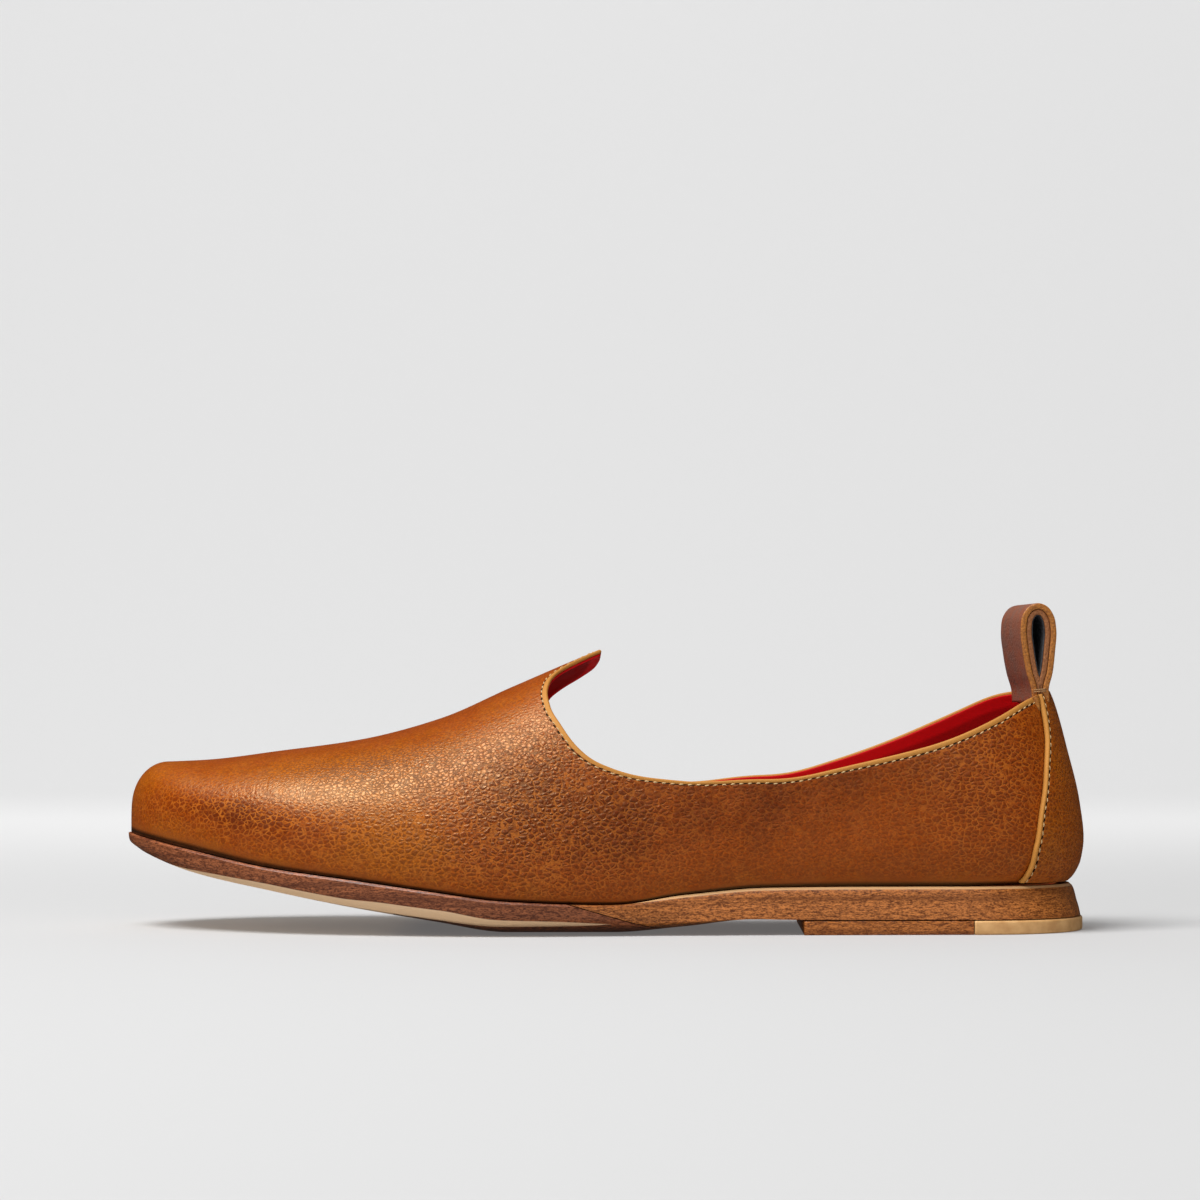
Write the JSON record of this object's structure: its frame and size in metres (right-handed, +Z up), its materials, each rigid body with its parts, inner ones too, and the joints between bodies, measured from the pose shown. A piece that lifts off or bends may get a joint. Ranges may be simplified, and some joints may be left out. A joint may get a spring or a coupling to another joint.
{
  "type": "mojari loafer",
  "caption": "Slip-on leather mojari loafer for the left foot, with a pointed tongue peak, low open collar, heel pull loop and a flat stacked leather sole.",
  "frame": {"origin": "centre of the shoe's box on the floor under the sole", "axes": "+X from toe to heel, -Y the outer side of the left foot, +Z up"},
  "size_m": [0.296, 0.0999, 0.0998],
  "materials": {
    "grain_leather": "cognac pebbled pull-up leather, semi-gloss",
    "counter_leather": "cognac pebbled pull-up leather, semi-gloss",
    "strap_leather": "cognac smooth leather, semi-gloss",
    "lining_leather": "red lining leather, satin",
    "outsole_leather": "dark waxed sole leather edge, natural bevel",
    "stacked_leather": "brown waxed stacked leather",
    "lift_leather": "brown waxed stacked leather",
    "heel_rubber": "beige matte rubber"
  },
  "bodies": {
    "root": {"upper": "grain_leather", "counter": "counter_leather", "pull_loop": "strap_leather", "insole": "lining_leather", "outsole": "outsole_leather", "rear_sole": "stacked_leather", "heel_lift": "lift_leather", "heel_rubber": "heel_rubber"}
  },
  "joints": []
}
